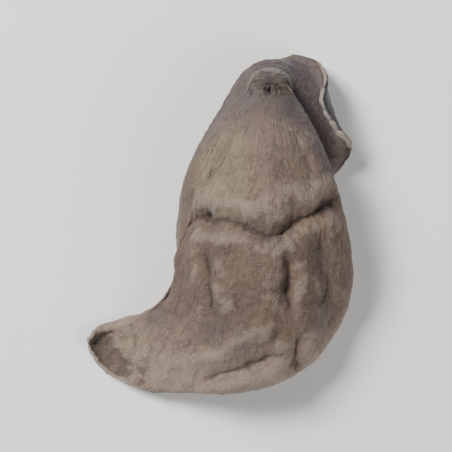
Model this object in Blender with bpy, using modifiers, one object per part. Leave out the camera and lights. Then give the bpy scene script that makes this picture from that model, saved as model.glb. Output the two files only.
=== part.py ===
"""A dried wood ear, lying on its rolled margins with the felted back up.

The ear is one leathery sheet that grew out sideways from a short stub on wood.
Drying has drawn it into a narrow-necked hood: the side margins roll under, one
front corner flares out, and the margin beside the neck turns back as a lapel.
+Z is up, the stub is at the +Y end and the open mouth of the hood faces -Y.
"""

import math

import bmesh
import bpy
import numpy as np

MM = 0.001

# Driving dimensions, in millimetres and degrees.
SHEET = 0.9            # thickness of the dried sheet
RIM_SHARE = 0.7        # thickness of the margin, as a share of the sheet
PRESS = 0.35           # how far the lowest rolls were flattened while drying
STUB = (4.4, 16.4, 7.2)
STUB_TILT = 35.0       # how far the stub's cut face looks up from +Y
SCAR_RADIUS = 2.0      # flat cut face where the ear was taken off the wood
SCAR_HEIGHT = 0.6      # how far the cut face stands off the sheet
SCAR_SKIRT = 1.2       # width of the stub's slope down to the sheet
ARCH = 0.42            # share of its span for which a ray holds its first way
ARCH_BACK = 0.2        # how much of that holds for a ray that leaves downwards
CURL = 1.3             # above 1 a margin curls more tightly towards its rim
FACING_UP = (0.2, 0.6) # upward lean from which folds begin and are at full height

# The waist above the flared corner, where the side is drawn in towards +X: the
# x at which that begins and is full, the y of its middle, its half width along
# Y, and how far it goes.
WAIST_BEGINS = -4.5
WAIST_FULL = -9.0
WAIST_MIDDLE = -8.6
WAIST_HALF_WIDTH = 2.4
WAIST_DEPTH = 2.6

# The mesh: lines from the stub to the margin and lines round the stub, points
# worked out along an arch and along a roll, and places tried round the margin.
RAYS = 150
RINGS = 60
ARCH_STEPS = 60
ROLL_STEPS = 40
MARGIN_STEPS = 400

# Easing of the sheet: how often, how strongly before and after the folds, and
# the rings by the stub and by the rim that it leaves alone.
EASING = 30
EASED = 0.5
EASED_FOLDS = 0.3
STUB_RINGS = 2
RIM_RINGS = 4

# Grain at which touching folds grow together, and share of the faces kept.
GROWN = 0.28
KEPT = 0.078


# The hood is drawn by rays that leave the stub, arch over and come down to the
# margin. Going round from the middle of the mouth towards -X, each row gives:
# fan      direction in which the ray leaves the stub, 0 up and over, 180 down
# x, y     the foot of the ray, where the margin starts to roll
# low      how far the rolled margin clears the ground
# way      compass direction of the margin, 0 towards -Y and 90 towards -X
# slope    how steeply the sheet meets its foot, -90 straight down
# hold     share of its span for which the foot holds that direction
# turn     how far the margin rolls under; below 0 it turns back outwards
# roll     length of the rolled margin
MARGIN = [
    # fan    x      y     low   way  slope  hold   turn  roll
    (0,     2.4, -18.7,  5.2,   -5,  -32,  0.28,   130,  4.0),
    (10,   -5.0, -19.0,  4.2,   12,  -26,  0.25,    90,  3.0),
    (21,  -12.0, -16.8,  1.4,   34,  -24,  0.24,   -40,  3.0),
    (32,  -14.6, -13.6,  0.3,   65,  -28,  0.24,  -110,  4.0),
    (41,  -11.2, -11.8,  0.5,   95,  -50,  0.14,    60,  2.5),
    (53,   -7.4,  -8.8,  0.6,  100,  -78,  0.14,   130,  3.0),
    (66,   -7.2,  -4.2,  0.0,   90,  -86,  0.20,   190,  4.5),
    (82,   -6.6,   2.6,  0.3,   92,  -95,  0.22,   230,  5.0),
    (99,   -4.2,   9.0,  0.0,  100,  -92,  0.24,   210,  4.5),
    (120,  -0.8,  14.6,  0.6,  112,  -90,  0.30,   170,  3.5),
    (145,   1.4,  18.4,  0.0,  140,  -85,  0.32,   130,  3.0),
    (180,   4.4,  19.6,  0.0,  178,  -80,  0.32,    75,  2.2),
    (225,   7.4,  18.4,  1.6, -145,  -50,  0.30,   -40,  2.5),
    (254,   8.8,  14.6,  4.2,  -98,    0,  0.28,  -150,  4.8),
    (272,   9.8,  10.0,  3.6,  -92,  -20,  0.26,  -130,  5.0),
    (286,  11.2,   5.0,  1.4,  -97,  -75,  0.22,    20,  3.0),
    (302,  12.6,  -0.8,  0.0,  -94,  -90,  0.24,   200,  4.5),
    (317,  14.4,  -6.8,  0.4,  -84,  -92,  0.28,   230,  5.0),
    (332,  13.2, -12.8,  0.0,  -55,  -78,  0.30,   180,  4.5),
    (346,   8.6, -16.8,  3.6,  -25,  -45,  0.30,   150,  4.0),
]

# Folds on the upper side, seen from above: the two ends of each fold, its half
# width, and its height. Below 0 it is a crease.
FOLDS = [
    # x      y      x      y    wide  high
    (-5.4,   0.0,  -3.2,   0.3, 0.9, -0.9),    # crease across the hood, in
    (-3.2,   0.3,   1.4,  -0.4, 0.8, -0.7),    # four unequal stretches
    (1.4,   -1.2,   5.6,  -1.2, 0.8, -1.2),
    (5.6,   -1.2,  12.0,   2.2, 0.9, -1.4),
    (-5.0,  -1.8,   1.6,  -2.2, 0.9,  0.7),    # swells that hang over it
    (1.4,    1.0,   9.5,   3.6, 1.2,  0.9),
    (-5.0,   2.6,   0.6,   2.4, 1.6,  0.7),
    (6.4,   -5.2,   5.3,  -7.4, 0.8, -1.1),    # crescent dimple
    (5.3,   -7.4,   6.6,  -9.6, 0.8, -1.0),
    (-4.6,  -3.2,  -4.9,  -7.4, 0.8,  0.5),    # pleats above the waist
    (-2.9,  -4.6,  -2.8,  -9.4, 0.7, -0.6),
    (-1.4,  -5.0,  -1.0, -10.0, 0.8,  0.5),
    (-8.5, -17.5,   2.6, -13.0, 0.9,  0.8),    # slanting folds of the skirt
    (-5.5, -19.5,   5.0, -15.6, 0.7, -0.7),
    (-3.0, -20.5,   5.5, -17.2, 0.7,  0.6),
    (5.2,  -14.5,   5.0, -20.5, 0.7,  0.7),    # short pleats at the mouth
    (6.9,  -14.5,   6.8, -20.0, 0.6, -0.8),
    (8.6,  -14.0,   8.8, -20.0, 0.7,  0.7),
    (0.8,   15.0,  -2.4,   4.0, 1.3, -0.5),    # furrows down from the neck
    (6.8,   14.0,   8.6,   4.5, 1.2, -0.5),
    (9.6,   -3.5,  11.8, -12.0, 1.4, -0.6),    # edge of the side bulge
]


def heading(way, slope):
    """Unit vector along a compass direction and a slope, both in degrees."""
    way = math.radians(way)
    slope = math.radians(slope)
    return np.array([-math.sin(way) * math.cos(slope),
                     -math.cos(way) * math.cos(slope),
                     math.sin(slope)])


def stub_axis():
    """Unit vector out of the cut face of the stub."""
    tilt = math.radians(STUB_TILT)
    return np.array([0.0, math.cos(tilt), math.sin(tilt)])


def leaving(fan):
    """Unit vector in which a ray leaves the stub, square to the stub's axis."""
    fan = math.radians(fan)
    sideways = np.array([-1.0, 0.0, 0.0])
    uphill = np.cross(stub_axis(), sideways)
    return math.cos(fan) * uphill + math.sin(fan) * sideways


def rolled(slope, turn, roll):
    """Run and rise along the rolled margin, in equal steps."""
    share = (np.arange(ROLL_STEPS) + 0.5) / ROLL_STEPS
    angle = slope - math.radians(turn) * share ** CURL
    run = np.cumsum(np.cos(angle)) * roll / ROLL_STEPS
    rise = np.cumsum(np.sin(angle)) * roll / ROLL_STEPS
    return run, rise


def margin_rows():
    """Each row of MARGIN as one array: the ray's control points and its roll."""
    stub = np.array(STUB)
    rows = []
    for fan, x, y, low, way, slope, hold, turn, roll in MARGIN:
        _, rise = rolled(math.radians(slope), turn, roll)
        height = low + SHEET / 2 - PRESS - min(rise.min(), 0.0)
        foot = np.array([x, y, height])
        span = np.linalg.norm(foot - stub)
        over = (1 + math.cos(math.radians(fan))) / 2
        lift = ARCH * (ARCH_BACK + (1 - ARCH_BACK) * over)
        rising = stub + leaving(fan) * lift * span
        falling = foot - heading(way, slope) * hold * span
        outward = heading(way, 0)
        rows.append(np.concatenate([rising, falling, foot, outward, [turn, roll]]))
    return rows


def between(rows, place):
    """Smooth value of a closed row of values at a place from 0 to 1 round it."""
    count = len(rows)
    place = (place % 1.0) * count
    first = int(place)
    share = place - first
    a, b, c, d = (rows[(first + step) % count] for step in (-1, 0, 1, 2))
    return 0.5 * (2 * b + (c - a) * share
                  + (2 * a - 5 * b + 4 * c - d) * share ** 2
                  + (3 * b - a - 3 * c + d) * share ** 3)


def ray_places(rows):
    """Where the rays stand: half by rows and half by the length of the margin."""
    fine = np.linspace(0, 1, MARGIN_STEPS + 1)
    feet = np.array([between(rows, place)[6:9] for place in fine])
    length = np.concatenate([[0.0], np.cumsum(np.linalg.norm(np.diff(feet, axis=0), axis=1))])
    mixed = (fine + length / length[-1]) / 2
    return np.interp(np.arange(RAYS) / RAYS, mixed, fine)


def ray(row):
    """Points along one ray, evenly spaced, from the stub out to the rim."""
    rising, falling, foot, outward = row[0:3], row[3:6], row[6:9], row[9:12]
    turn, roll = row[12:14]
    outward = outward / np.linalg.norm(outward)
    k = np.linspace(0, 1, ARCH_STEPS)[:, None]
    arch = ((1 - k) ** 3 * np.array(STUB) + 3 * (1 - k) ** 2 * k * rising
            + 3 * (1 - k) * k ** 2 * falling + k ** 3 * foot)
    last = foot - falling
    run, rise = rolled(math.atan2(last[2], last @ outward), turn, roll)
    edge = foot + run[:, None] * outward + rise[:, None] * np.array([0.0, 0.0, 1.0])
    line = np.concatenate([arch, edge])
    gone = np.concatenate([[0.0], np.cumsum(np.linalg.norm(np.diff(line, axis=0), axis=1))])
    stations = np.linspace(SCAR_RADIUS + SCAR_SKIRT, gone[-1], RINGS - 1)
    sheet = np.stack([np.interp(stations, gone, line[:, axis]) for axis in range(3)], axis=1)
    centre = np.array(STUB) + stub_axis() * SCAR_HEIGHT
    away = rising - np.array(STUB)
    scar = centre + away / np.linalg.norm(away) * SCAR_RADIUS
    return np.concatenate([[centre, scar], sheet])


def hood():
    """The middle of the sheet: a fan of faces spun round, carried out along the rays."""
    mesh = bmesh.new()
    line = [mesh.verts.new((ring / RINGS, 0, 0)) for ring in range(RINGS + 1)]
    spoke = [mesh.edges.new(pair) for pair in zip(line, line[1:])]
    bmesh.ops.spin(mesh, geom=line + spoke, cent=(0, 0, 0), axis=(0, 0, 1),
                   angle=2 * math.pi, steps=RAYS, use_merge=True)
    bmesh.ops.remove_doubles(mesh, verts=mesh.verts, dist=0.001)
    rows = margin_rows()
    rays = [ray(between(rows, place)) for place in ray_places(rows)]
    ring_of = {}
    for vert in mesh.verts:
        number = round(math.atan2(vert.co.y, vert.co.x) / (2 * math.pi) * RAYS)
        ring = round(vert.co.length * RINGS)
        ring_of[vert] = ring
        vert.co = rays[number % RAYS][ring]
    bmesh.ops.recalc_face_normals(mesh, faces=mesh.faces)
    return mesh, ring_of


def draw_in_waist(mesh):
    """Draw the side of the hood in above the flared corner."""
    for vert in mesh.verts:
        share = (vert.co.x - WAIST_BEGINS) / (WAIST_FULL - WAIST_BEGINS)
        share = min(max(share, 0.0), 1.0)
        near = math.exp(-((vert.co.y - WAIST_MIDDLE) / WAIST_HALF_WIDTH) ** 2)
        vert.co.x += WAIST_DEPTH * share * near


def fold_height(x, y, fold):
    """Height of one fold above a point seen from above."""
    x1, y1, x2, y2, wide, high = fold
    along = np.array([x2 - x1, y2 - y1])
    length = np.linalg.norm(along)
    along = along / length
    offset = np.array([x - x1, y - y1])
    forward = offset @ along
    beyond = max(-forward, forward - length, 0.0)
    sideways = abs(offset[0] * along[1] - offset[1] * along[0])
    return high * math.exp(-(sideways / wide) ** 2 - (beyond / wide) ** 2)


def raise_folds(mesh, ring_of):
    """Push the folds out of the hood, where it faces up, and then ease the sheet."""
    inner = [vert for vert in mesh.verts if STUB_RINGS < ring_of[vert] < RINGS - RIM_RINGS]
    for _ in range(EASING):
        bmesh.ops.smooth_vert(mesh, verts=inner, factor=EASED,
                              use_axis_x=True, use_axis_y=True, use_axis_z=True)
    mesh.normal_update()
    moved = {}
    none, full = FACING_UP
    for vert in mesh.verts:
        upward = min(max((vert.normal.z - none) / (full - none), 0.0), 1.0)
        height = sum(fold_height(vert.co.x, vert.co.y, fold) for fold in FOLDS)
        moved[vert] = vert.co + vert.normal * height * upward
    for vert, place in moved.items():
        vert.co = place
    bmesh.ops.smooth_vert(mesh, verts=inner, factor=EASED_FOLDS,
                          use_axis_x=True, use_axis_y=True, use_axis_z=True)


def felt():
    """The matt grey-brown felt of the back."""
    material = bpy.data.materials.new("felted_back")
    material.use_nodes = True
    shader = material.node_tree.nodes["Principled BSDF"]
    shader.inputs["Base Color"].default_value = (0.24, 0.185, 0.155, 1.0)
    shader.inputs["Roughness"].default_value = 0.85
    shader.inputs["Metallic"].default_value = 0.0
    return material


def thickened(sheet, ring_of_index):
    """The closed solid of the sheet, thinner towards the rim, as a new mesh."""
    flesh = sheet.vertex_groups.new(name="flesh")
    for index, ring in enumerate(ring_of_index):
        flesh.add([index], 1.0 - (ring / RINGS) ** 2, "REPLACE")
    wall = sheet.modifiers.new("wall", "SOLIDIFY")
    wall.thickness = SHEET
    wall.offset = 0.0
    wall.vertex_group = flesh.name
    wall.thickness_vertex_group = RIM_SHARE
    grown = sheet.modifiers.new("grown together", "REMESH")
    grown.mode = "VOXEL"
    grown.voxel_size = GROWN
    kept = sheet.modifiers.new("kept", "DECIMATE")
    kept.ratio = KEPT
    evaluated = sheet.evaluated_get(bpy.context.evaluated_depsgraph_get())
    return bpy.data.meshes.new_from_object(evaluated)


def make_ear(collection):
    mesh, ring_of = hood()
    draw_in_waist(mesh)
    raise_folds(mesh, ring_of)
    mesh.verts.index_update()
    ring_of_index = [ring_of[vert] for vert in mesh.verts]
    data = bpy.data.meshes.new("sheet")
    mesh.to_mesh(data)
    mesh.free()
    data.materials.append(felt())
    sheet = bpy.data.objects.new("sheet", data)
    collection.objects.link(sheet)
    solid = thickened(sheet, ring_of_index)
    bpy.data.objects.remove(sheet, do_unlink=True)
    bpy.data.meshes.remove(data)
    # The rolls that lay lowest on the drying tray are pressed flat, and the
    # origin is put on the tray under the middle of the ear.
    across = [vert.co.x for vert in solid.vertices]
    along = [vert.co.y for vert in solid.vertices]
    middle_x = (min(across) + max(across)) / 2
    middle_y = (min(along) + max(along)) / 2
    for vert in solid.vertices:
        x, y, z = vert.co
        vert.co = ((x - middle_x) * MM, (y - middle_y) * MM, max(z, 0.0) * MM)
    solid.shade_smooth()
    ear = bpy.data.objects.new("ear", solid)
    collection.objects.link(ear)


for thing in list(bpy.data.objects):
    bpy.data.objects.remove(thing, do_unlink=True)
wood_ear = bpy.data.collections.new("dried_wood_ear")
bpy.context.scene.collection.children.link(wood_ear)
make_ear(wood_ear)
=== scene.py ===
"""A dried wood ear: one leathery sheet of fungus, drawn up into a hood as it dried.

It lies on its rolled margins with the felted back up. +Z is up and the stub by
which it grew on wood is at the +Y end. The sheet is shaped in millimetres and
brought to metres when it is laid in its place.
"""

import math

import bmesh
import bpy
import numpy as np
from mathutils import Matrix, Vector, noise
from mathutils.bvhtree import BVHTree


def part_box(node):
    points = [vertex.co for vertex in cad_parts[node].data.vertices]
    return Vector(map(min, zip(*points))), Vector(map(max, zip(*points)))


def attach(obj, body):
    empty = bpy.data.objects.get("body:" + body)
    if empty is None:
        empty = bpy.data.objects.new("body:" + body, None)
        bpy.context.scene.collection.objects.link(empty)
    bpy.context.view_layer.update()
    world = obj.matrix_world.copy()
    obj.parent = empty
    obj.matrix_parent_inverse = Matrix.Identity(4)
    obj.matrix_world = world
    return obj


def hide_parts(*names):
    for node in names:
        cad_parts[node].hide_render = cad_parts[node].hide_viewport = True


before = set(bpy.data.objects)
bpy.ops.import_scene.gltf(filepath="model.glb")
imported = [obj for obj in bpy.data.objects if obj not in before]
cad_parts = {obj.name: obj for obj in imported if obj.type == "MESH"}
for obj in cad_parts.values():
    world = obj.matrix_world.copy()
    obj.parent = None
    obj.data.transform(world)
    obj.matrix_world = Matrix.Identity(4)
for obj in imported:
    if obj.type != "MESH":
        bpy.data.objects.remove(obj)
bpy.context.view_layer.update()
scene = bpy.context.scene


# ---- The camera -------------------------------------------------------------
# It looks straight down on the ear from well above it, through a long lens, so
# that the sides of the hood are hardly seen.

LENS = 120
CAMERA_HEIGHT = 0.184
VIEW_CENTRE = (0.0008, -0.0004)

lens = bpy.data.cameras.new("camera")
lens.lens = LENS
lens.clip_start = 0.01
camera = bpy.data.objects.new("camera", lens)
camera.location = (VIEW_CENTRE[0], VIEW_CENTRE[1], CAMERA_HEIGHT)
scene.collection.objects.link(camera)
scene.camera = camera


# ---- The ear: the sheet as it grew ------------------------------------------
# The whole mushroom is one sheet of fungus flesh that grows out sideways from a
# short stub on dead wood. Its rays leave the stub, arch over and come down to a
# margin, which rolls under at the sides and turns back as a lapel by the neck.

SHEET = 0.9            # thickness of the dried sheet
RIM_SHARE = 0.7        # thickness of the margin, as a share of the sheet
PRESS = 0.35           # how far the lowest rolls were flattened while drying
STUB = (4.4, 16.4, 7.2)
STUB_TILT = 35.0       # how far the stub's cut face looks up from +Y
SCAR_RADIUS = 2.0      # flat cut face where the ear was taken off the wood
SCAR_HEIGHT = 0.6      # how far the cut face stands off the sheet
SCAR_SKIRT = 1.2       # width of the stub's slope down to the sheet
ARCH = 0.42            # share of its span for which a ray holds its first way
ARCH_BACK = 0.6        # that share for a ray square to the fan, against one straight over
CURL = 1.3             # above 1 the margin curls more and more towards its edge
WAIST_BEGINS = -4.5    # x at which the waist above the flare begins to go in
WAIST_FULL = -9.0      # x from which it is drawn in fully
WAIST_MIDDLE = -8.6    # y of its middle
WAIST_HALF_WIDTH = 2.4
WAIST_DEPTH = 2.6
WANDER = 1.3           # how far the folds stray from straight lines
WANDER_SIZE = 3.2      # and over what distance they do
FOLD_SHARE = 0.90      # height of the folds before drying raises them further
FACING_UP = (0.2, 0.6) # rise of the normal at which a fold begins and is whole
RAYS = 170
RINGS = 66
ARCH_STEPS = 60
ROLL_STEPS = 40
MARGIN_STEPS = 400
MOST_POINTS = 20000
EASING = 36            # rounds of easing before the folds are raised
EASED = 0.5            # how far a point goes to the middle of its neighbours
EASED_FOLDS = 0.3      # the same, once the folds are raised
STUB_RINGS = 2.5       # rings round the stub that easing leaves alone
RIM_RINGS = 4.5        # rings at the rim that it leaves alone
SIDE_RIGHT = -2.5      # the crowded side above the flare: left of this x,
SIDE_FRONT = -13.0     # between these two y,
SIDE_BACK = 4.0
SIDE_FOOT = 2.2        # above this z,
SIDE_STEEP = 0.75      # where the normal rises less than this,
SIDE_REACH = 0.4       # and farther out than this share of the way to the rim
SIDE_EASING = 80       # rounds of easing there
PINCH = 38.0           # bend across an edge, in degrees, past which it is nipped
FINE_PINCH = 26.0      # the same for the finer mesh
PINCH_EASING = 40      # most rounds of opening it out
PINCH_MARGIN = 2       # points round it that are eased too
PINCH_STUB_RINGS = 4.5
PINCH_RIM_RINGS = 0.5

# Going round from the middle of the mouth towards -X, each row gives:
# fan      direction in which the ray leaves the stub, 0 up and over, 180 down
# x, y     the foot of the ray, where the margin starts to roll
# low      how far the rolled margin clears the ground
# way      compass direction of the margin, 0 towards -Y and 90 towards -X
# slope    how steeply the sheet meets its foot, -90 straight down
# hold     share of its span for which the foot holds that direction
# turn     how far the margin rolls under; below 0 it turns back outwards
# roll     length of the rolled margin
MARGIN = [
    # fan    x      y     low   way  slope  hold   turn  roll
    (0,     2.4, -18.7,  5.2,   -5,  -32,  0.28,   130,  4.0),
    (10,   -5.0, -19.0,  4.2,   12,  -26,  0.25,    90,  3.0),
    (21,  -12.0, -16.8,  1.4,   34,  -24,  0.24,   -40,  3.0),
    (32,  -14.6, -13.6,  0.3,   65,  -28,  0.24,  -110,  4.0),
    (41,  -11.2, -11.8,  0.5,   95,  -50,  0.14,    60,  2.5),
    (53,   -7.4,  -8.8,  0.6,  100,  -78,  0.14,   130,  3.0),
    (66,   -7.2,  -4.2,  0.0,   90,  -86,  0.20,   190,  4.5),
    (82,   -6.6,   2.6,  0.3,   92,  -95,  0.22,   230,  5.0),
    (99,   -4.2,   9.0,  0.0,  100,  -92,  0.24,   210,  4.5),
    (120,  -0.8,  14.6,  0.6,  112,  -90,  0.30,   170,  3.5),
    (145,   1.4,  18.4,  0.0,  140,  -85,  0.32,   130,  3.0),
    (180,   4.4,  19.6,  0.0,  178,  -80,  0.32,    75,  2.2),
    (225,   7.4,  18.4,  1.6, -145,  -50,  0.30,   -40,  2.5),
    (254,   8.8,  14.6,  4.2,  -98,    0,  0.28,  -150,  4.8),
    (272,   9.8,  10.0,  3.6,  -92,  -20,  0.26,  -130,  5.0),
    (286,  11.2,   5.0,  1.4,  -97,  -75,  0.22,    20,  3.0),
    (302,  12.6,  -0.8,  0.0,  -94,  -90,  0.24,   200,  4.5),
    (317,  14.4,  -6.8,  0.4,  -84,  -92,  0.28,   230,  5.0),
    (332,  13.2, -12.8,  0.0,  -55,  -78,  0.30,   180,  4.5),
    (346,   8.6, -16.8,  3.6,  -25,  -45,  0.30,   150,  4.0),
]

# Folds on the upper side, seen from above: the two ends of each fold, its half
# width, and its height. Below 0 it is a crease.
FOLDS = [
    # x      y      x      y    wide  high
    (-5.4,   0.0,  -3.2,   0.3, 0.9, -0.9),    # crease across the hood, in
    (-3.2,   0.3,   1.4,  -0.4, 0.8, -0.7),    # four unequal stretches
    (1.4,   -1.2,   5.6,  -1.2, 0.8, -1.2),
    (5.6,   -1.2,  12.0,   2.2, 0.9, -1.4),
    (-5.0,  -1.8,   1.6,  -2.2, 0.9,  0.5),    # swells that hang over it
    (1.4,    1.0,   9.5,   3.6, 1.2,  0.7),
    (-5.0,   2.6,   0.6,   2.4, 1.6,  0.6),
    (6.4,   -5.2,   5.3,  -7.4, 0.8, -1.0),    # crescent dimple
    (5.3,   -7.4,   6.6,  -9.6, 0.8, -0.9),
    (-4.6,  -3.2,  -4.9,  -7.4, 0.8,  0.3),    # pleats above the waist
    (-2.9,  -4.6,  -2.8,  -9.4, 0.7, -0.4),
    (-1.4,  -5.0,  -1.0, -10.0, 0.8,  0.3),
    (-8.5, -17.5,   2.6, -13.0, 0.9,  0.5),    # slanting folds of the skirt
    (-5.5, -19.5,   5.0, -15.6, 0.7, -0.5),
    (-3.0, -20.5,   5.5, -17.2, 0.7,  0.5),
    (5.2,  -14.5,   5.0, -20.5, 0.7,  0.7),    # short pleats at the mouth
    (6.9,  -14.5,   6.8, -20.0, 0.6, -0.8),
    (8.6,  -14.0,   8.8, -20.0, 0.7,  0.7),
    (0.8,   15.0,  -2.4,   4.0, 1.3, -0.5),    # furrows down from the neck
    (6.8,   14.0,   8.6,   4.5, 1.2, -0.5),
    (9.6,   -3.5,  11.8, -12.0, 1.4, -0.6),    # edge of the side bulge
]


def heading(way, slope):
    """Unit vector along a compass direction and a slope, both in degrees."""
    way = math.radians(way)
    slope = math.radians(slope)
    return np.array([-math.sin(way) * math.cos(slope),
                     -math.cos(way) * math.cos(slope),
                     math.sin(slope)])


def stub_axis():
    """Unit vector out of the cut face of the stub."""
    tilt = math.radians(STUB_TILT)
    return np.array([0.0, math.cos(tilt), math.sin(tilt)])


def leaving(fan):
    """Unit vector in which a ray leaves the stub, square to the stub's axis."""
    fan = math.radians(fan)
    sideways = np.array([-1.0, 0.0, 0.0])
    uphill = np.cross(stub_axis(), sideways)
    return math.cos(fan) * uphill + math.sin(fan) * sideways


def rolled(slope, turn, roll):
    """Run and rise along the rolled margin, in equal steps."""
    share = (np.arange(ROLL_STEPS) + 0.5) / ROLL_STEPS
    angle = slope - math.radians(turn) * share ** CURL
    run = np.cumsum(np.cos(angle)) * roll / ROLL_STEPS
    rise = np.cumsum(np.sin(angle)) * roll / ROLL_STEPS
    return run, rise


def margin_rows():
    """Each row of MARGIN as one array: the ray's control points and its roll."""
    stub = np.array(STUB)
    rows = []
    for fan, x, y, low, way, slope, hold, turn, roll in MARGIN:
        _, rise = rolled(math.radians(slope), turn, roll)
        height = low + SHEET / 2 - PRESS - min(rise.min(), 0.0)
        foot = np.array([x, y, height])
        span = np.linalg.norm(foot - stub)
        lift = ARCH * (ARCH_BACK + (1 - ARCH_BACK) * math.cos(math.radians(fan)))
        rising = stub + leaving(fan) * lift * span
        falling = foot - heading(way, slope) * hold * span
        outward = heading(way, 0)
        rows.append(np.concatenate([rising, falling, foot, outward, [turn, roll]]))
    return rows


def between(rows, place):
    """Smooth value of a closed row of values at a place from 0 to 1 round it."""
    count = len(rows)
    place = (place % 1.0) * count
    first = int(place)
    share = place - first
    a, b, c, d = (rows[(first + step) % count] for step in (-1, 0, 1, 2))
    return 0.5 * (2 * b + (c - a) * share
                  + (2 * a - 5 * b + 4 * c - d) * share ** 2
                  + (3 * b - a - 3 * c + d) * share ** 3)


def gone_along(line):
    """Length from the start of a line of points to each of them."""
    steps = np.linalg.norm(np.diff(line, axis=0), axis=1)
    return np.concatenate([[0.0], np.cumsum(steps)])


def ray_places(rows):
    """Where the rays stand: half by rows and half by the length of the margin."""
    fine = np.arange(MARGIN_STEPS + 1) / MARGIN_STEPS
    feet = np.array([between(rows, place)[6:9] for place in fine])
    length = gone_along(feet)
    mixed = (fine + length / length[-1]) / 2
    return np.interp(np.arange(RAYS) / RAYS, mixed, fine)


def ray(row):
    """Points along one ray, evenly spaced, from the stub out to the rim."""
    rising, falling, foot, outward = row[0:3], row[3:6], row[6:9], row[9:12]
    turn, roll = row[12:14]
    outward = outward / np.linalg.norm(outward)
    k = np.linspace(0, 1, ARCH_STEPS)[:, None]
    arch = ((1 - k) ** 3 * np.array(STUB) + 3 * (1 - k) ** 2 * k * rising
            + 3 * (1 - k) * k ** 2 * falling + k ** 3 * foot)
    last = foot - falling
    run, rise = rolled(math.atan2(last[2], last @ outward), turn, roll)
    edge = foot + run[:, None] * outward + rise[:, None] * np.array([0.0, 0.0, 1.0])
    line = np.concatenate([arch, edge])
    gone = gone_along(line)
    stations = np.linspace(SCAR_RADIUS + SCAR_SKIRT, gone[-1], RINGS - 1)
    sheet = np.stack([np.interp(stations, gone, axis) for axis in line.T], axis=1)
    centre = np.array(STUB) + stub_axis() * SCAR_HEIGHT
    away = rising - np.array(STUB)
    scar = centre + away / np.linalg.norm(away) * SCAR_RADIUS
    return np.concatenate([[centre, scar], sheet])


def in_turn(part):
    """A number to sort an edge or a face by, from the points at its corners."""
    corners = sorted(vert.index for vert in part.verts)
    return (corners[0] * MOST_POINTS + corners[1]) * MOST_POINTS + corners[-1]


def hood():
    """The middle of the sheet: a fan of faces spun round, carried out along the rays.

    Merging leaves the edges and faces in chance order, so they are sorted. The flat
    fan stays with every point as "fan", to lead the grain of the finishes.
    """
    mesh = bmesh.new()
    line = [mesh.verts.new((ring / RINGS, 0, 0)) for ring in range(RINGS + 1)]
    spoke = [mesh.edges.new(pair) for pair in zip(line, line[1:])]
    bmesh.ops.spin(mesh, geom=line + spoke, cent=(0, 0, 0), axis=(0, 0, 1),
                   angle=2 * math.pi, steps=RAYS, use_merge=True)
    bmesh.ops.remove_doubles(mesh, verts=mesh.verts, dist=0.001)
    mesh.verts.index_update()
    mesh.edges.sort(key=in_turn)
    mesh.faces.sort(key=in_turn)
    fan = mesh.verts.layers.float_vector.new("fan")
    rows = margin_rows()
    rays = [ray(between(rows, place)) for place in ray_places(rows)]
    for vert in mesh.verts:
        vert[fan] = vert.co
        number = round(math.atan2(vert.co.y, vert.co.x) / (2 * math.pi) * RAYS)
        vert.co = rays[number % RAYS][round(vert.co.length * RINGS)]
    bmesh.ops.recalc_face_normals(mesh, faces=mesh.faces)
    return mesh, fan


def draw_in_waist(mesh):
    """Draw the side of the hood in above the flared corner."""
    for vert in mesh.verts:
        share = (vert.co.x - WAIST_BEGINS) / (WAIST_FULL - WAIST_BEGINS)
        share = min(max(share, 0.0), 1.0)
        near = math.exp(-((vert.co.y - WAIST_MIDDLE) / WAIST_HALF_WIDTH) ** 2)
        vert.co.x += WAIST_DEPTH * share * near


def drift(place, size):
    """A slow change of direction over the ear, for bending its lines by."""
    return Vector([noise.noise(place / size + Vector((seed, -seed, 0)))
                   for seed in (9.3, 0.0, 6.3)])


def fold_height(x, y, fold):
    """Height of one fold above a point seen from above."""
    x1, y1, x2, y2, wide, high = fold
    along = np.array([x2 - x1, y2 - y1])
    length = np.linalg.norm(along)
    along = along / length
    offset = np.array([x - x1, y - y1])
    forward = offset @ along
    beyond = max(-forward, forward - length, 0.0)
    sideways = abs(offset[0] * along[1] - offset[1] * along[0])
    return high * math.exp(-(sideways / wide) ** 2 - (beyond / wide) ** 2)


def folded(place, folds):
    """Height of a row of folds, straying from straight lines, over a point."""
    bent = place + drift(place, WANDER_SIZE) * WANDER
    return sum(fold_height(bent.x, bent.y, fold) for fold in folds)


def eased(mesh, verts, factor, rounds=1):
    """Brings points nearer to the middle of their neighbours."""
    for _ in range(rounds):
        bmesh.ops.smooth_vert(mesh, verts=verts, factor=factor,
                              use_axis_x=True, use_axis_y=True, use_axis_z=True)


def raise_folds(mesh, fan):
    """Push the folds out of the hood, where it faces up, and then ease the sheet."""
    inner = [vert for vert in mesh.verts
             if STUB_RINGS < vert[fan].length * RINGS < RINGS - RIM_RINGS]
    eased(mesh, inner, EASED, EASING)
    mesh.normal_update()
    low, high = FACING_UP
    moved = {}
    for vert in mesh.verts:
        upward = min(max((vert.normal.z - low) / (high - low), 0.0), 1.0)
        height = FOLD_SHARE * folded(vert.co, FOLDS)
        moved[vert] = vert.co + vert.normal * height * upward
    for vert, place in moved.items():
        vert.co = place
    eased(mesh, inner, EASED_FOLDS)


def ease_waist(mesh, fan):
    """Rounds off the side of the hood where its rays crowd in above the flare."""
    side = [vert for vert in mesh.verts
            if vert.co.x < SIDE_RIGHT and SIDE_FRONT < vert.co.y < SIDE_BACK
            and vert.co.z > SIDE_FOOT and vert.normal.z < SIDE_STEEP
            and vert[fan].length > SIDE_REACH]
    eased(mesh, side, EASED, SIDE_EASING)


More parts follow.
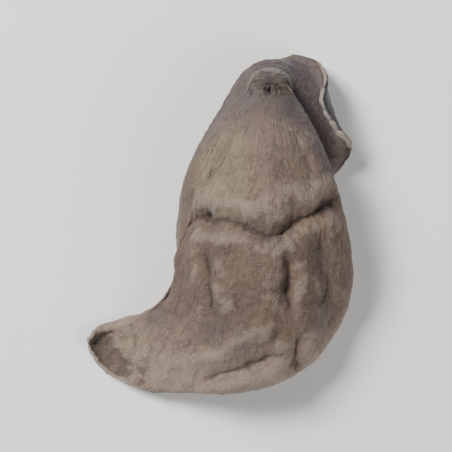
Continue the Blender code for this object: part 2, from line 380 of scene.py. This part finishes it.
def ease_pinches(mesh, fan, sharp):
    """Opens out the places where the sheet is nipped sharper than an angle in degrees."""
    for _ in range(PINCH_EASING):
        mesh.normal_update()
        nipped = {vert for edge in mesh.edges
                  if edge.calc_face_angle(0.0) > math.radians(sharp) for vert in edge.verts}
        for _ in range(PINCH_MARGIN):
            nipped |= {edge.other_vert(vert) for vert in nipped for edge in vert.link_edges}
        nipped = [vert for vert in nipped
                  if PINCH_STUB_RINGS < vert[fan].length * RINGS < RINGS - PINCH_RIM_RINGS]
        if not nipped:
            break
        eased(mesh, nipped, EASED)


# ---- The ear: how it dried --------------------------------------------------
# The felted back loses less of its area than the jelly under it, so the sheet is
# too wide for its own shape and buckles into soft folds. Every stretch between two
# points grows a little and pushes them apart, against the sheet's stiffness.

GROWTH = 0.36          # most that a stretch of the sheet grows, as a share
GROWS = (0.1, 0.6)     # shares of the way to the rim over which growth sets in
GROWTH_PATCH = 7.0     # patches that grow more or less, in millimetres
LEAST_GROWTH = 0.4     # growth of the poorest patch against the best
DOME = (1.0, 7.0)      # y over which the firm dome by the stub sets in
DOME_SPARED = 0.55     # share of its growth that the dome is spared
BULGE = (5.0, 9.0)     # x over which the smooth bulge at the side sets in
BULGE_SPARED = 0.6
TUCKED = (-0.1, 0.6)   # fall of the normal over which the margin is tucked under
TUCKED_REACH = (0.6, 0.8)    # and shares of the way to the rim
TUCKED_SPARED = 0.9
STIFFNESS = 0.60       # how strongly a point follows its neighbours
HELD = 0.008           # how far a point comes back to its first place, each step
HELD_PATCH = 6.0
TUCKED_HELD = 0.10     # more, where the margin is rolled under
STUB_HELD = 3.5        # rings round the stub that don't move
UNEVEN = 0.45          # unevenness of the fresh sheet, from which folds grow
UNEVEN_SIZE = 2.6
STEPS = 260
FARTHEST = 0.9         # farthest that a point may move, in millimetres


def smooth_share(value, low, high):
    """How far a value is from low to high, as an eased share from 0 to 1."""
    share = min(max((value - low) / (high - low), 0.0), 1.0)
    return share * share * (3 - 2 * share)


def patchy(place, size, seed):
    """Slow change from 0 to 1 over the ear, in patches of a size in millimetres."""
    return min(max(0.5 + noise.noise(place / size + Vector((seed, seed, seed))), 0.0), 1.0)


class Skin:
    """The points of a mesh as arrays, with the means of their neighbours."""

    def __init__(self, mesh):
        mesh.normal_update()
        mesh.verts.index_update()
        self.places = np.array([vert.co[:] for vert in mesh.verts])
        self.normals = np.array([vert.normal[:] for vert in mesh.verts])
        edges = np.array([sorted(vert.index for vert in edge.verts) for edge in mesh.edges])
        self.ends = np.concatenate([edges[:, 0], edges[:, 1]])
        self.others = np.concatenate([edges[:, 1], edges[:, 0]])
        self.count = np.bincount(self.ends)

    def gathered(self, pulls):
        """The mean of what the edges at each point say, in x, y and z."""
        sums = [np.bincount(self.ends, weights=axis) for axis in pulls.T]
        return np.stack(sums, axis=1) / self.count[:, None]

    def mean(self, values):
        """The mean of each point's neighbours, for one number each."""
        return np.bincount(self.ends, weights=values[self.others]) / self.count


def growth_and_hold(vert, share):
    """How much the sheet grows at a point and how firmly the point is held."""
    tucked = smooth_share(-vert.normal.z, *TUCKED) * smooth_share(share, *TUCKED_REACH)
    dome = smooth_share(vert.co.y, *DOME)
    bulge = smooth_share(vert.co.x, *BULGE) * (1 - dome)
    patch = LEAST_GROWTH + (1 - LEAST_GROWTH) * patchy(vert.co, GROWTH_PATCH, 50)
    grows = smooth_share(share, *GROWS) * patch
    grows *= (1 - DOME_SPARED * dome) * (1 - TUCKED_SPARED * tucked) * (1 - BULGE_SPARED * bulge)
    if share * RINGS < STUB_HELD:
        return grows, 1.0
    return grows, HELD * (0.5 + patchy(vert.co, HELD_PATCH, 3)) + TUCKED_HELD * tucked


def dried(mesh, fan):
    """Lets the sheet buckle and returns the new places of its points."""
    skin = Skin(mesh)
    both = np.array([growth_and_hold(vert, vert[fan].length) for vert in mesh.verts])
    growing, hold = both[:, 0], both[:, 1:]
    rough = np.array([noise.noise(vert.co / UNEVEN_SIZE) for vert in mesh.verts])
    first = np.linalg.norm(skin.places[skin.others] - skin.places[skin.ends], axis=1)
    wanted = first * (1 + GROWTH * (growing[skin.ends] + growing[skin.others]) / 2)
    shift = skin.normals * (UNEVEN * rough * growing)[:, None]
    for _ in range(STEPS):
        places = skin.places + shift
        span = places[skin.others] - places[skin.ends]
        length = np.linalg.norm(span, axis=1)
        shift = shift + skin.gathered(span * (1 - wanted / length)[:, None])
        shift = shift + STIFFNESS * (skin.gathered(shift[skin.others]) - shift)
        shift = shift * (1 - hold)
    far = np.linalg.norm(shift, axis=1)[:, None] + 1e-9
    return skin.places + shift / far * FARTHEST * np.tanh(far / FARTHEST)


# ---- The ear: skin, thickness and place -------------------------------------
# On top of the folds the skin has shrunk into fine wrinkles that run out from the
# stub like the veins of a leaf, and the thin margin is lightly ruffled.

WRINKLE = 0.15         # height of the fine wrinkles
WRINKLE_BEND = 0.9     # how far their lines are bent
BEND_SIZE = 3.0        # and over what distance
ROUND_VEINS = 9.0      # veins met on a way round the stub, and on the way out
OUT_VEINS = 4.5
SKIN_CLEAR = 0.03      # share of the way out from which the skin is wrinkled at all
SKIN_WHOLE = 0.15      # and fully
SET_IN = 0.2           # how much of each crease's depth is set in again
SET_IN_WIDTH = 0.6     # over how much of its width
RUFFLE = 0.22          # sway of the margin
RUFFLES = 12.0
RUFFLE_REACH = 0.9
FINE_ROUNDS = 12       # rounds of easing that tell fine relief from broad
BROAD_ROUNDS = 120
SKIN_GAP = 0.05        # a ray that looks for the rest of the sheet starts this far out
ROOM_TAKEN = 0.9       # share of the free room that the wall may fill
LEAST_WALL = 0.15      # thinnest wall, as a share of the sheet
ROOM_ROUNDS = 12
ROOM_EASED = 0.6
RIM_ROUND = 0.45       # thickness of the very edge, as a share of the sheet
EDGE = 0.975           # share of the way out at which the edge begins to round off
MM = 0.001


def finer(sheet):
    """The sheet with each face parted in four and smoothed, as a mesh and its fan."""
    parted = sheet.modifiers.new("parted", "SUBSURF")
    parted.levels = 1
    parted.render_levels = 1
    evaluated = sheet.evaluated_get(bpy.context.evaluated_depsgraph_get())
    mesh = bmesh.new()
    mesh.from_mesh(evaluated.data)
    sheet.modifiers.remove(parted)
    return mesh, mesh.verts.layers.float_vector["fan"]


def wrinkle_height(fan, place):
    """Height of the skin's wrinkles and ruffles at a point, in millimetres."""
    share = fan.length
    if share < SKIN_CLEAR:
        return 0.0
    turn = fan / share
    along = Vector((turn.x * ROUND_VEINS, turn.y * ROUND_VEINS, share * OUT_VEINS))
    bend = drift(place, BEND_SIZE) * WRINKLE_BEND
    veins = (1 - abs(noise.noise(along * 1.1 + bend)) * 2.0) ** 2
    small = (1 - abs(noise.noise(place * 0.8 + bend * 0.7)) * 2.0) ** 2
    ruffle = noise.noise(Vector((turn.x * RUFFLES, turn.y * RUFFLES, 7.0)))
    height = WRINKLE * smooth_share(share, SKIN_CLEAR, SKIN_WHOLE)
    height *= 0.6 * veins + 0.6 * small - 0.7
    return height + RUFFLE * ruffle * smooth_share(share, RUFFLE_REACH, 1.0)


def wrinkle(mesh, fan):
    """Raises the fine wrinkles on the skin, and sets its creases in more sharply."""
    creases = [(x1, y1, x2, y2, wide * SET_IN_WIDTH, high * SET_IN)
               for x1, y1, x2, y2, wide, high in FOLDS if high < 0]
    mesh.normal_update()
    moved = []
    for vert in mesh.verts:
        height = wrinkle_height(vert[fan], vert.co)
        upward = smooth_share(vert.normal.z, *FACING_UP)
        if upward > 0:
            height += upward * folded(vert.co, creases)
        moved.append(vert.co + vert.normal * height)
    for vert, place in zip(mesh.verts, moved):
        vert.co = place


def relief(skin, rounds):
    """How far each point stands above its surroundings, in millimetres."""
    low = skin.places.T.copy()
    for _ in range(rounds):
        low = 0.5 * low + 0.5 * np.stack([skin.mean(axis) for axis in low])
    return ((skin.places - low.T) * skin.normals).sum(axis=1)


def room(mesh, skin):
    """How thick the wall may be at each point before it meets the rest of the sheet."""
    tree = BVHTree.FromPolygons([vert.co for vert in mesh.verts],
                                [[vert.index for vert in face.verts] for face in mesh.faces])
    free = []
    for vert in mesh.verts:
        nearest = SHEET
        for side in (vert.normal, -vert.normal):
            distance = tree.ray_cast(vert.co + side * SKIN_GAP, side, SHEET)[3]
            if distance is not None:
                nearest = min(nearest, distance)
        free.append(max(nearest * ROOM_TAKEN, SHEET * LEAST_WALL))
    free = np.array(free) / SHEET
    thick = free.copy()
    for _ in range(ROOM_ROUNDS):
        thick = np.minimum(free, (1 - ROOM_EASED) * thick + ROOM_EASED * skin.mean(thick))
    return thick


def note(mesh, name, values):
    """Keeps one number for each point of a mesh, under a name."""
    kept = mesh.attributes.new(name, "FLOAT", "POINT")
    kept.data.foreach_set("value", np.asarray(values, dtype=np.float32))


def walled(sheet, free):
    """The closed ear: back, inner face and rounded margin, as a new mesh."""
    fan = sheet.data.attributes["fan"].data
    flesh = sheet.vertex_groups.new(name="flesh")
    for vert in sheet.data.vertices:
        share = Vector(fan[vert.index].vector).length
        thick = 1 - share ** 2 * (1 - RIM_SHARE)
        thick *= 1 - (1 - RIM_ROUND / RIM_SHARE) * smooth_share(share, EDGE, 1.0)
        flesh.add([vert.index], min(thick, free[vert.index]), "REPLACE")
    wall = sheet.modifiers.new("wall", "SOLIDIFY")
    wall.thickness = SHEET
    wall.offset = 0.0
    wall.vertex_group = flesh.name
    wall.material_offset = 1
    evaluated = sheet.evaluated_get(bpy.context.evaluated_depsgraph_get())
    mesh = bpy.data.meshes.new_from_object(evaluated)
    sheet.modifiers.remove(wall)
    return mesh


def laid(mesh, low, high):
    """Presses the lowest rolls flat and lays the ear in its box, in metres."""
    places = np.array([vert.co[:] for vert in mesh.vertices])
    places[:, 2] = np.maximum(places[:, 2], 0.0)
    size = places.max(axis=0) - places.min(axis=0)
    share = (places - places.min(axis=0)) / size
    places = np.array(low) + share * (np.array(high) - np.array(low))
    for vert, place in zip(mesh.vertices, places):
        vert.co = place


def shown(name, mesh):
    """Puts a mesh into the scene as an object."""
    thing = bpy.data.objects.new(name, mesh)
    scene.collection.objects.link(thing)
    return thing


grown, fan_layer = hood()
draw_in_waist(grown)
raise_folds(grown, fan_layer)
ease_waist(grown, fan_layer)
ease_pinches(grown, fan_layer, PINCH)
for vert, place in zip(grown.verts, dried(grown, fan_layer)):
    vert.co = place
sheet_mesh = bpy.data.meshes.new("sheet")
grown.to_mesh(sheet_mesh)
grown.free()
sheet = shown("sheet", sheet_mesh)

fine, fan_layer = finer(sheet)
ease_pinches(fine, fan_layer, FINE_PINCH)
wrinkle(fine, fan_layer)
skin = Skin(fine)
free_room = room(fine, skin)
fine_mesh = bpy.data.meshes.new("fine_sheet")
fine.to_mesh(fine_mesh)
fine.free()
note(fine_mesh, "fine_relief", relief(skin, FINE_ROUNDS))
note(fine_mesh, "broad_relief", relief(skin, BROAD_ROUNDS))


# ---- The ear: its finishes --------------------------------------------------
# The back is a matt felt of very short hairs, taupe, with a painted highlight on
# its ridges and painted shade in its hollows. The inner face, which bore the
# spores, is smooth slate black with faint veins. Both meet in a thin pale margin.

TAUPE = (0.098, 0.068, 0.053)
FAWN = (0.142, 0.101, 0.070)
ASH = (0.080, 0.062, 0.058)
NECK_SHADE = (0.066, 0.052, 0.054)
SKIRT = (0.250, 0.185, 0.144)
BELLY = (0.072, 0.045, 0.032)
OLIVE = (0.150, 0.122, 0.078)
LAPEL_SHADE = (0.034, 0.027, 0.033)
ROSE = (0.150, 0.092, 0.076)
PALE_FELT_AND_HIGHLIGHT = (0.235, 0.182, 0.146)
# Umber serves the felt's dark streaks and the cut fibres, and painted shade in the hollows and
# crinkle grooves.
UMBER = (0.024, 0.016, 0.013)
PALE_RIM = (0.240, 0.195, 0.158)
SLATE = (0.020, 0.018, 0.023)
SLATE_LIGHT = (0.052, 0.048, 0.055)
CUT_FLESH = (0.130, 0.098, 0.076)
OLIVE_SPOT = ((0.0002, 0.0070, 0.013), (0.0052, 0.0070, 0.009))    # middle, half size
ROSE_SPOT = ((0.0048, 0.0074, 0.012), (0.0016, 0.0060, 0.009))
NECK = (0.009, 0.015)          # y over which the painted shade of the neck sets in
# Where the back of the lapel is painted darker, as painted shade:
LAPEL_SIDE = (0.862, 0.507)    # the way, in x and y, in which the lapel lies
LAPEL_EDGE = (0.0122, 0.0140)  # how far that way it begins and is whole
LAPEL_FOOT = (0.003, 0.007)    # y over which it fades at its foot


class Tone:
    """A shader socket on which Python's own operators work."""

    def __init__(self, finish, socket):
        self.finish = finish
        self.socket = socket

    def maths(self, operation, first, second):
        return self.finish.node("ShaderNodeMath", {"operation": operation}, {0: first, 1: second})

    def __add__(self, other):
        return self.maths("ADD", self, other)

    def __radd__(self, other):
        return self.maths("ADD", other, self)

    def __sub__(self, other):
        return self.maths("SUBTRACT", self, other)

    def __rsub__(self, other):
        return self.maths("SUBTRACT", other, self)

    def __mul__(self, other):
        return self.maths("MULTIPLY", self, other)

    def __rmul__(self, other):
        return self.maths("MULTIPLY", other, self)


class Finish:
    """A material, put together node by node."""

    def __init__(self, name):
        self.material = bpy.data.materials.new(name)
        self.material.use_nodes = True
        self.tree = self.material.node_tree
        self.shader = self.tree.nodes["Principled BSDF"]

    def node(self, kind, settings, sockets, out=0):
        """Adds a node: its settings first, then the values or links of its sockets."""
        made = self.tree.nodes.new(kind)
        for name, value in settings.items():
            setattr(made, name, value)
        for name, value in sockets.items():
            self.fill(made.inputs[name], value)
        return Tone(self, made.outputs[out])

    def fill(self, socket, value):
        if isinstance(value, Tone):
            self.tree.links.new(value.socket, socket)
        elif isinstance(value, tuple) and socket.type == "RGBA":
            socket.default_value = (*value, 1.0)
        else:
            socket.default_value = value

    def place(self):
        """The point's own place on the ear."""
        return self.node("ShaderNodeTexCoord", {}, {}, "Object")

    def noted(self, name, out="Fac"):
        """A value kept with the mesh."""
        return self.node("ShaderNodeAttribute", {"attribute_name": name}, {}, out)

    def grain(self, round_share, out_share):
        """The fan stretched round and out, so that a pattern runs along the rays."""
        fan = self.noted("fan", "Vector")
        turn = self.node("ShaderNodeVectorMath", {"operation": "NORMALIZE"}, {0: fan})
        reach = self.node("ShaderNodeVectorMath", {"operation": "LENGTH"}, {0: fan}, "Value")
        rise = self.node("ShaderNodeCombineXYZ", {}, {"Z": reach * out_share})
        return self.node("ShaderNodeVectorMath", {"operation": "MULTIPLY_ADD"},
                         {0: turn, 1: (round_share, round_share, 0.0), 2: rise})

    def mottle(self, vector, size, detail=3.0, rough=0.55):
        """Cloudy noise from 0 to 1, with patches of a size in metres."""
        return self.node("ShaderNodeTexNoise", {}, {"Vector": vector, "Scale": 1 / size,
                                                    "Detail": detail, "Roughness": rough})

    def stirred(self, vector, size, far):
        """The place, pushed about by cloudy noise as far as the given distance."""
        cloud = self.node("ShaderNodeTexNoise", {}, {"Vector": vector, "Scale": 1 / size}, "Color")
        return self.node("ShaderNodeVectorMath", {"operation": "MULTIPLY_ADD"},
                         {0: cloud, 1: (far, far, far), 2: vector})

    def spot(self, place, centre, half):
        """A patch of the ear with soft uneven edges: 1 in its middle, 0 outside it."""
        away = self.node("ShaderNodeVectorMath", {"operation": "SUBTRACT"}, {0: place, 1: centre})
        away = self.node("ShaderNodeVectorMath", {"operation": "DIVIDE"}, {0: away, 1: half})
        away = self.node("ShaderNodeVectorMath", {"operation": "LENGTH"}, {0: away}, "Value")
        return 1 - self.rise(away + self.mottle(place, 2.0 * MM) * 0.5, 0.7, 1.4)

    def crackle(self, vector, size):
        """How far a point is from the nearest line of a net of wrinkles."""
        return self.node("ShaderNodeTexVoronoi", {"feature": "DISTANCE_TO_EDGE"},
                         {"Vector": vector, "Scale": 1 / size}, "Distance")

    def rise(self, value, low, high):
        """An eased step from 0 to 1 as the value goes from low to high."""
        return self.node("ShaderNodeMapRange", {"interpolation_type": "SMOOTHSTEP"},
                         {"Value": value, "From Min": low, "From Max": high})

    def mix(self, share, first, second):
        """From the first colour to the second."""
        return self.node("ShaderNodeMix", {"data_type": "RGBA"}, {0: share, 6: first, 7: second}, 2)

    def reach(self):
        """How far out the point lies: 0 at the stub, 1 at the rim."""
        return self.node("ShaderNodeVectorMath", {"operation": "LENGTH"},
                         {0: self.noted("fan", "Vector")}, "Value")

    def bump(self, height, distance, strength, under=None):
        sockets = {"Height": height, "Distance": distance, "Strength": strength}
        if under is not None:
            sockets["Normal"] = under
        return self.node("ShaderNodeBump", {}, sockets)

    def finish_with(self, sockets):
        for name, value in sockets.items():
            self.fill(self.shader.inputs[name], value)
        return self.material


def felted_back():
    """The matt felt of the back."""
    felt = Finish("felted_back")
    place = felt.place()
    reach = felt.reach()
    hairs = felt.mottle(place, 0.20 * MM, 4.0, 0.65)
    streaks = felt.mottle(felt.grain(0.011, 0.006), 0.25 * MM, 3.0, 0.6)
    crinkle = felt.crackle(felt.stirred(place, 0.9 * MM, 1.1 * MM), 0.85 * MM)
    blotches = felt.rise(felt.mottle(place, 4.5 * MM, 4.0), 0.38, 0.62)
    cool = felt.rise(felt.mottle(place, 7.0 * MM, 3.0), 0.44, 0.60)
    warm = felt.rise(felt.mottle(place, 2.6 * MM, 4.0), 0.48, 0.66)
    right = felt.node("ShaderNodeSeparateXYZ", {}, {0: place}, "X")
    back = felt.node("ShaderNodeSeparateXYZ", {}, {0: place}, "Y")
    across = right * LAPEL_SIDE[0] + back * LAPEL_SIDE[1]
    lapel = felt.rise(across, *LAPEL_EDGE) * felt.rise(back, *LAPEL_FOOT)
    neck = felt.rise(back, *NECK)
    fine = felt.noted("fine_relief")
    broad = felt.noted("broad_relief")
    # Painted light from the relief: a painted highlight on ridges, painted shade in hollows.
    ridge_highlight = felt.rise(fine * 4.0 + broad * 0.5, 0.12, 0.75)
    hollow_shade = felt.rise(fine * -6.0 - broad * 0.6, 0.06, 0.85)
    base = felt.mix(blotches, TAUPE, FAWN)
    base = felt.mix(cool * 0.7, base, ASH)
    base = felt.mix(warm * 0.5, base, ROSE)
    belly = felt.rise(reach, 0.38, 0.50) - felt.rise(reach, 0.66, 0.80)
    base = felt.mix(belly * 0.55, base, BELLY)
    base = felt.mix(felt.spot(place, *OLIVE_SPOT) * 0.7, base, OLIVE)
    base = felt.mix(felt.spot(place, *ROSE_SPOT) * 0.6, base, ROSE)
    # Painted shade: the neck by the stub is painted greyer and darker.
    base = felt.mix(neck * 0.75, base, NECK_SHADE)
    base = felt.mix(felt.rise(reach, 0.74, 0.93) * 0.6, base, SKIRT)
    # Painted shade on the back of the lapel, a dusky purple grey.
    base = felt.mix(lapel * 0.65, base, LAPEL_SHADE)
    base = felt.mix(felt.rise(streaks, 0.45, 0.72) * 0.35, base, UMBER)
    broken = felt.rise(felt.mottle(place, 1.6 * MM, 3.0), 0.44, 0.60)
    # Painted shade along the grooves of the crinkle net, where the pads of the bump sink.
    base = felt.mix((1 - felt.rise(crinkle, 0.02, 0.16)) * broken * 0.32, base, UMBER)
    # Painted shade in the hollows, darkened towards umber.
    base = felt.mix(hollow_shade * 0.68, base, UMBER)
    # Painted highlight on the ridges, flecked by the hairs.
    base = felt.mix(ridge_highlight * (hairs * 1.1 - 0.1), base, PALE_FELT_AND_HIGHLIGHT)
    base = felt.mix(felt.rise(hairs, 0.50, 0.72) * 0.28, base, PALE_FELT_AND_HIGHLIGHT)
    base = felt.mix(felt.rise(reach, 0.988, 1.0) * 0.8, base, PALE_RIM)
    fibres = felt.mottle(felt.grain(0.004, 0.06), 0.5 * MM, 4.0, 0.7)
    scar = 1 - felt.rise(reach + fibres * 0.012, 0.022, 0.034)
    cut = felt.mix(felt.rise(fibres, 0.4, 0.65), UMBER, CUT_FLESH)
    base = felt.mix(scar, base, cut)
    fur = felt.bump(hairs, 0.14 * MM, 0.7)
    pads = felt.bump(felt.rise(crinkle, 0.0, 0.30) * broken, 0.12 * MM, 0.55, fur)
    torn = felt.bump(fibres * scar, 0.45 * MM, 0.9, pads)
    lines = felt.bump(streaks, 0.12 * MM, 0.6, torn)
    return felt.finish_with({
        "Base Color": base,
        "Roughness": 0.78 + hairs * 0.2,
        "Sheen Weight": 0.15,
        "Sheen Roughness": 0.4,
        "Specular IOR Level": 0.25,
        "Normal": lines,
    })


def spore_face():
    """The smooth dark inner face."""
    face = Finish("smooth_inner_face")
    place = face.place()
    reach = face.reach()
    veins = face.mottle(face.grain(0.012, 0.005), 0.9 * MM, 4.0, 0.55)
    grain = face.mottle(place, 0.25 * MM, 3.0, 0.6)
    cloud = face.rise(face.mottle(place, 3.5 * MM, 3.0), 0.35, 0.7)
    base = face.mix(cloud * 0.6, SLATE, SLATE_LIGHT)
    base = face.mix(face.rise(veins, 0.5, 0.8) * 0.35, base, SLATE_LIGHT)
    base = face.mix(face.rise(reach, 0.985, 1.0) * 0.7, base, PALE_RIM)
    lines = face.bump(veins, 0.25 * MM, 0.6)
    skin = face.bump(grain, 0.05 * MM, 0.4, lines)
    return face.finish_with({
        "Base Color": base,
        "Roughness": 0.42 + cloud * 0.18 + grain * 0.1,
        "Specular IOR Level": 0.45,
        "Normal": skin,
    })


fine_mesh.materials.append(felted_back())
fine_mesh.materials.append(spore_face())
fine_sheet = shown("fine_sheet", fine_mesh)
ear_mesh = walled(fine_sheet, free_room)
laid(ear_mesh, *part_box("ear"))
ear_mesh.shade_smooth()
ear_mesh.name = "wood_ear"
wood_ear = shown("wood_ear", ear_mesh)
bpy.data.objects.remove(sheet, do_unlink=True)
bpy.data.objects.remove(fine_sheet, do_unlink=True)
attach(wood_ear, "root")
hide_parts("ear")


# ---- The table and the light ------------------------------------------------
# A plain pale table top, lit by a large soft lamp at the upper left, a weaker one
# from the right and an even sky.

TABLE_HALF = 0.6
TABLE_COLOUR = (0.66, 0.65, 0.63)
KEY = ((-0.18, 0.15, 0.28), 0.13, 3.1)
FILL = ((0.24, -0.22, 0.26), 0.30, 1.7)
SKY = 0.27


def table_top():
    top = bmesh.new()
    bmesh.ops.create_grid(top, x_segments=1, y_segments=1, size=TABLE_HALF)
    mesh = bpy.data.meshes.new("table_top")
    top.to_mesh(mesh)
    top.free()
    table = shown("table_top", mesh)
    paper = Finish("pale_table")
    cloud = paper.mottle(paper.place(), 30 * MM, 2.0)
    shade = paper.mix(cloud * 0.06, TABLE_COLOUR, (0.60, 0.59, 0.57))
    mesh.materials.append(paper.finish_with({"Base Color": shade, "Roughness": 0.7}))


def lamp(name, place, size, power):
    light = bpy.data.lights.new(name, "AREA")
    light.energy = power
    light.size = size
    holder = bpy.data.objects.new(name, light)
    holder.location = place
    holder.rotation_euler = (-Vector(place)).to_track_quat("-Z", "Y").to_euler()
    scene.collection.objects.link(holder)


table_top()
lamp("key", *KEY)
lamp("fill", *FILL)
sky = bpy.data.worlds.new("sky")
sky.use_nodes = True
sky.node_tree.nodes["Background"].inputs["Strength"].default_value = SKY
scene.world = sky
